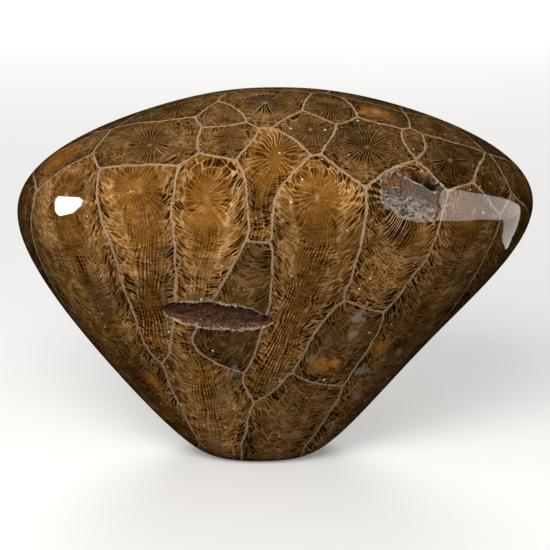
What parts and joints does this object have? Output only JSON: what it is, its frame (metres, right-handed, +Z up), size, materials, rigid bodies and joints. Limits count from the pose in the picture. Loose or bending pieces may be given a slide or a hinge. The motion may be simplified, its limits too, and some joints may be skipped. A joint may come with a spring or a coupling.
{
  "type": "fossil coral head",
  "caption": "Polished fossil coral head: a wide rounded wedge of stone with a domed top, cut flat at its small foot so that it stands for display.",
  "frame": {"origin": "centre of the flat foot that the stone stands on", "axes": "+Z up, +X to the right along the longest side and +Y to the back, as the front face is seen"},
  "size_m": [0.1009, 0.0576, 0.0733],
  "materials": {
    "fossil_coral": "polished to a gloss; brown and ochre coral skeleton with pale corallite walls"
  },
  "bodies": {
    "root": {"coral_head": "fossil_coral"}
  },
  "joints": []
}
